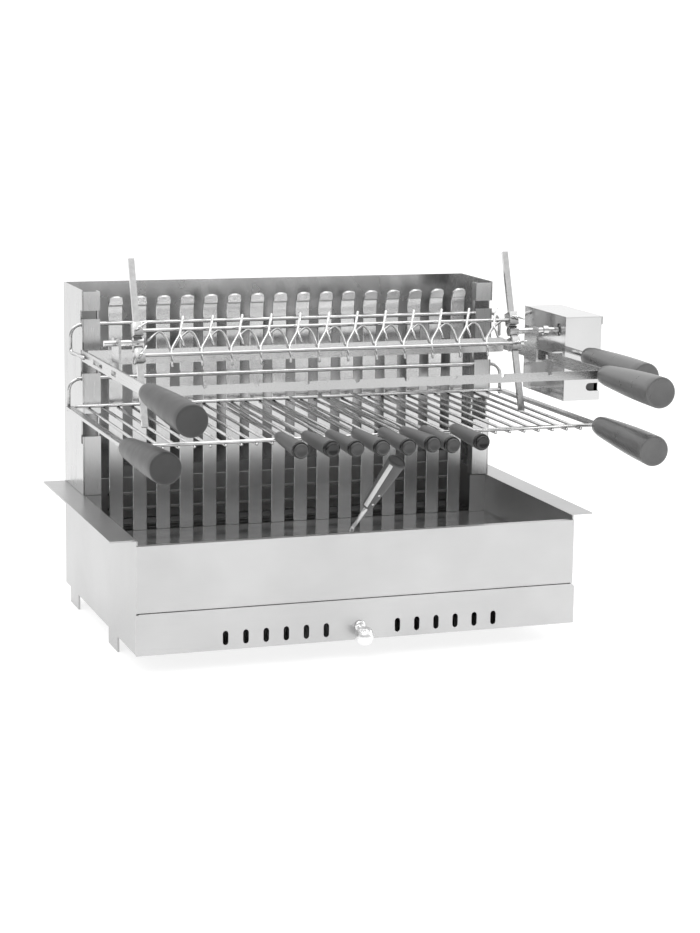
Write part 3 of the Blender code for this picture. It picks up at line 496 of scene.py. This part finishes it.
def make_jaws(wire):
    reach = UPRIGHT_X - 0.0054
    for name, along, side in (("upper_jaw", UPPER_JAW, JAW_SIDE), ("lower_jaw", LOWER_JAW, -JAW_SIDE)):
        data = bmesh.new()
        for sign in (-1, 1):
            clamp(data, sign, along)
        add_tube(data, [in_spit(-reach, along, side), in_spit(0, along, side), in_spit(reach, along, side)],
                 0.0025, 14)
        if name == "upper_jaw":
            add_arches(data)
        else:
            add_prongs(data)
        add_piece(name + "_wires", data, name, wire, [name], 55)


def add_arches(data):
    """The long wavy wire: a slow rise, a round peak at the rod and a steep fall, over and over."""
    peak, reach = UPPER_JAW - 0.0012, UPRIGHT_X - 0.0095
    bends = ((-0.0170, 0.53), (-0.0062, 0.88), (0.0, 1.0), (0.0052, 0.84), (0.0095, 0.48), (0.0122, 0.0))
    path = []
    for index in range(TOOTH_COUNT + 1):
        x = (index - TOOTH_COUNT / 2) * TOOTH_PITCH + 0.0095
        for ahead, share in bends:
            if index < TOOTH_COUNT or ahead <= 0:
                along = TOOTH_DIP + (peak - TOOTH_DIP) * share
                path.append(in_spit(max(-reach, min(reach, x + ahead)), along, JAW_SIDE + 0.0003))
    add_tube(data, fillet(path, 0.0035, 3), TOOTH_RADIUS, 10)


def add_prongs(data):
    """Prongs that rise through the lower rod, run over to a knee and stand up, each with a tine."""
    for index in range(TOOTH_COUNT):
        x = (index - TOOTH_COUNT / 2) * TOOTH_PITCH + 0.0190
        knee = in_spit(x + 0.0136, 0.0080, -JAW_SIDE)
        path = [in_spit(x, -0.0345, -JAW_SIDE), in_spit(x, TOOTH_DIP, -JAW_SIDE), knee,
                in_spit(x + 0.0155, 0.0160, -JAW_SIDE), in_spit(x + 0.0200, 0.0318, -JAW_SIDE)]
        add_tube(data, fillet(path, 0.006, 5), TOOTH_RADIUS, 10)
        tine = in_spit(x + 0.0176, -0.0078, -JAW_SIDE)
        add_tube(data, [knee, (knee + tine) / 2, tine], TOOTH_RADIUS * 0.9, 10)


def make_screws(steel):
    """Clamping screws out of the clamps' front faces, each with a cross bar pushed to one side."""
    front = in_spit(0, 0, -1) - in_spit(0, 0, 0)
    up = in_spit(0, 1, 0) - in_spit(0, 0, 0)
    screws = (("upper_screw_left", -1, UPPER_JAW, 33), ("upper_screw_right", 1, UPPER_JAW, -14),
              ("lower_screw_left", -1, LOWER_JAW, 57), ("lower_screw_right", 1, LOWER_JAW, 4))
    for name, sign, along, tilt in screws:
        start = in_spit(sign * UPRIGHT_X, along, -CLAMP_HALF_DEPTH - 0.0003)
        data = bmesh.new()
        profile = [(0.0, 0.0018)]
        for turn in range(2):
            profile += [(0.0006 + turn * 0.0012, 0.0021), (0.0012 + turn * 0.0012, 0.0017)]
        profile += [(0.0030, 0.0022), (0.0064, 0.0022), (0.0070, 0.0014)]
        add_turned(data, profile, start, front, 20)
        line = X_AXIS * math.cos(math.radians(tilt)) + up * math.sin(math.radians(tilt))
        middle = start + front * 0.0048
        add_tube(data, [middle - line * 0.0045, middle, middle + line * 0.0125], 0.0014, 14, 0.9)
        add_piece(name + "_pin", data, name, steel, [name], 45)


def make_fire_grate(bar, ties):
    """Upright bars with eased edges, bent forward at the top and rounded at the tip."""
    data = bmesh.new()
    low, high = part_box("fire_grate")
    front, thick, half = 0.1015, 0.0035, 0.010
    bend_z, lean = 0.4015, math.radians(32.5)
    count, pitch = 16, 0.0335
    for index in range(count):
        x = (index - (count - 1) / 2) * pitch
        stations = [(low[2], 0.0, 0.0, half), (0.25, 0.0, 0.0, half)]
        for step in range(5):
            turn = lean * step / 4
            run = 0.006
            stations.append((bend_z - run + run * step / 2, -0.0000 - 0.0016 * (step / 4) ** 2, turn, half))
        length = 0.0195
        for step in range(1, 8):
            share = step / 7
            along = 0.006 + (length - 0.006) * share
            width = half if share < 0.35 else half * (0.42 + 0.58 * math.sqrt(max(0, 1 - ((share - 0.35) / 0.65) ** 2)))
            stations.append((bend_z + 0.006 + (along - 0.006) * math.cos(lean), -0.0016 - (along - 0.006)
                             * math.sin(lean) - 0.0, lean, width))
        rings = []
        for z, y, turn, width in stations:
            normal = Vector((0, math.cos(turn), math.sin(turn)))
            face = Vector((x, front + y, z))
            corner = 0.0007
            ring = []
            for side, depth in ((-1, corner), (-1, thick - corner), (-1, thick), (1, thick), (1, thick - corner),
                                (1, corner), (1, 0), (-1, 0)):
                inset = corner if depth in (0, thick) else 0
                ring.append(data.verts.new(face + X_AXIS * side * (width - inset) + normal * depth))
            rings.append(ring)
        skin_rings(data, rings)
    add_piece("fire_bars", data, "box", bar, ["fire_grate"], 40)

    data = bmesh.new()
    behind = front + thick
    for z0, z1 in ((0.102, 0.109), (0.169, 0.184)):
        add_block(data, (-0.2618, behind - 0.0003, z0), (0.2618, behind + 0.003, z1))
    for z in (0.124, 0.145):
        add_tube(data, [(-0.2615, behind + 0.0018, z), (0, behind + 0.0018, z), (0.2615, behind + 0.0018, z)],
                 0.0022, 12)
    add_piece("fire_bar_ties", data, "box", ties, ["fire_grate"], 40)


def make_knob(finish):
    start = Vector((-0.003, FRONT - 0.0026, 0.0190))
    droop = math.radians(27)
    direction = (0, -math.cos(droop), -math.sin(droop))
    data = bmesh.new()
    add_turned(data, [(0.0, 0.0060), (0.0003, 0.0074), (0.0012, 0.0076), (0.0024, 0.0068), (0.0032, 0.0050)],
               start, (0, -1, 0), 32)
    centre, radius = 0.0200, 0.0125
    profile = [(0.0018, 0.0040), (centre - radius, 0.0043)]
    for step in range(3, 17):
        turn = math.pi * (1 - step / 17)
        profile.append((centre + radius * math.cos(turn), radius * math.sin(turn)))
    profile.append((centre + radius, 0.0004))
    add_turned(data, profile, start, direction, 40)
    add_piece("knob_ball", data, "drawer", finish, ["drawer_knob"], 60)


def make_tool(grip, steel, cap_finish):
    top = Vector((0.027, FRONT - 0.050, 0.245))
    low = Vector((-0.001, FRONT - 0.015, 0.179))
    up = (top - low).normalized()
    length = (top - low).length
    data = bmesh.new()
    profile = [(0.0, 0.0045), (0.0010, 0.0062), (0.005, 0.0073), (length * 0.3, 0.0086), (length * 0.6, 0.0103),
               (length - 0.004, 0.0121), (length - 0.003, 0.0122)]
    add_turned(data, profile, low, up, 36)
    add_piece("tool_grip", data, "tool", grip, ["tool_handle"], 50)
    data = bmesh.new()
    profile = [(length - 0.0031, 0.0121), (length - 0.0027, 0.0123), (length - 0.0010, 0.0121), (length, 0.0112),
               (length, 0.0100), (length - 0.0008, 0.0096), (length - 0.0008, 0.0003)]
    add_turned(data, profile, low, up, 36)
    add_piece("tool_cap", data, "tool", cap_finish, (), 50)
    data = bmesh.new()
    across = Vector((-1, 0, 0))
    across = (across - up * across.dot(up)).normalized()
    front = up.cross(across).normalized()
    if front.y > 0:
        front = -front
    edge = (across * 0.80 + front * 0.60).normalized()
    width = up.cross(edge).normalized() * 0.0030
    lower = low + up * 0.004 + edge * 0.0064
    upper = low + up * (length - 0.005) + edge * 0.0112
    add_slab(data, [lower - width, lower + width, upper + width, upper - width], edge * 0.0010, 0.0003)
    for share in (0.14, 0.34):
        centre = low + up * (length * share) + front * (0.0068 + 0.0050 * share)
        add_turned(data, [(0.0, 0.0016), (0.0006, 0.0016), (0.0011, 0.0011), (0.0013, 0.0004)], centre, front, 16)
    add_piece("tool_strip", data, "tool", steel, (), 40)
    start = low - up * 0.0003
    path = [start, start - up * 0.017, (-0.0095, FRONT + 0.0035, 0.1540), (-0.0105, FRONT + 0.0125, 0.1480),
            (-0.0105, FRONT + 0.0160, 0.1400), (-0.0105, FRONT + 0.0160, 0.1150)]
    data = bmesh.new()
    add_tube(data, fillet(path, 0.008, 5), 0.0029, 14)
    add_piece("tool_wire", data, "tool", steel, ["tool_rod"], 60)


def finish_sheet_nodes(materials):
    """Give each carried-over node its finish."""
    for finish, names in materials:
        for name in names:
            node = NODES[name]
            for index in range(len(node.material_slots)):
                node.material_slots[index].material = finish


def main():
    make_camera()
    make_world()
    make_lights()
    make_floor()
    bpy.context.scene.view_settings.view_transform = "Standard"

    panel = sheet_steel("panel_satin", 0.58, 0.34)
    wall = sheet_steel("wall_satin", 0.50, 0.34)
    post = sheet_steel("post_satin", 0.66, 0.30, (60, 60, 1))
    # The fire bars and their ties carry painted shade along their height.
    bar = sheet_steel("bar_steel_grain_painted_shade", 0.74, 0.22, (60, 60, 1), BAR_PAINTED_SHADE)
    ties = sheet_steel("tie_steel_grain_painted_shade", 0.16, 0.40, (1, 60, 60), BAR_PAINTED_SHADE)
    strap = sheet_steel("strap_steel", 0.52, 0.26, (60, 1, 60))
    mirror = polished_steel("mirror_sheet", 0.94, 0.15)
    ball = polished_steel("ball_chrome", 0.92, 0.28)
    reflector = polished_steel("reflector_sheet", 0.50, 0.20)
    housing = polished_steel("housing_sheet", 0.62, 0.12)
    # The bright wires carry painted shade on their undersides.
    wire = wire_steel("bright_wire_steel_painted_shade", 0.72, 0.14, WIRE_PAINTED_SHADE)
    upright = wire_steel("upright_steel", 0.66, 0.14)
    handle = satin_handle("handle_satin", 0.042, 0.40)
    # painted light: a paler, glossier copy of the handle finish for the right-hand grips
    handle_right = satin_handle("handle_satin_painted_light", 0.095, 0.30, 0.8)
    grip = satin_handle("grip_satin", 0.085, 0.42)
    ring = satin_handle("ring_gloss", 0.010, 0.16)
    button = satin_handle("button_satin", 0.050, 0.30)
    black_button = satin_handle("button_black", 0.014, 0.14)
    motor = satin_handle("motor_paint", 0.10, 0.50)

    finish_sheet_nodes((
        (panel, ["front_panel", "ash_drawer"]),
        (wall, ["trough", "foot_front_left", "foot_front_right", "foot_rear_left", "foot_rear_right"]),
        (post, ["rack_post_left", "rack_post_right"]),
        (mirror, ["hearth_plate"]),
        (reflector, ["back_reflector"]),
        (housing, ["motor_housing", "motor_cover", "drive_socket"]),
        (strap, ["carrier_arm_left", "carrier_arm_right", "carrier_front_bar", "carrier_rear_bar",
                 "grill_arm_left", "grill_arm_right", "spit_bracket_left", "spit_bracket_right",
                 "charcoal_grate"]),
        (upright, ["spit_upright_left", "spit_upright_right"]),
        (motor, ["gear_motor"]),
    ))
    make_fire_grate(bar, ties)
    make_grill_grid(wire)
    make_hook_wires(wire)
    make_handles(handle, handle_right)
    make_skewers(wire, grip, ring, (button, black_button))
    make_jaws(wire)
    make_screws(wire)
    make_knob(ball)
    make_tool(grip, strap, handle)


main()
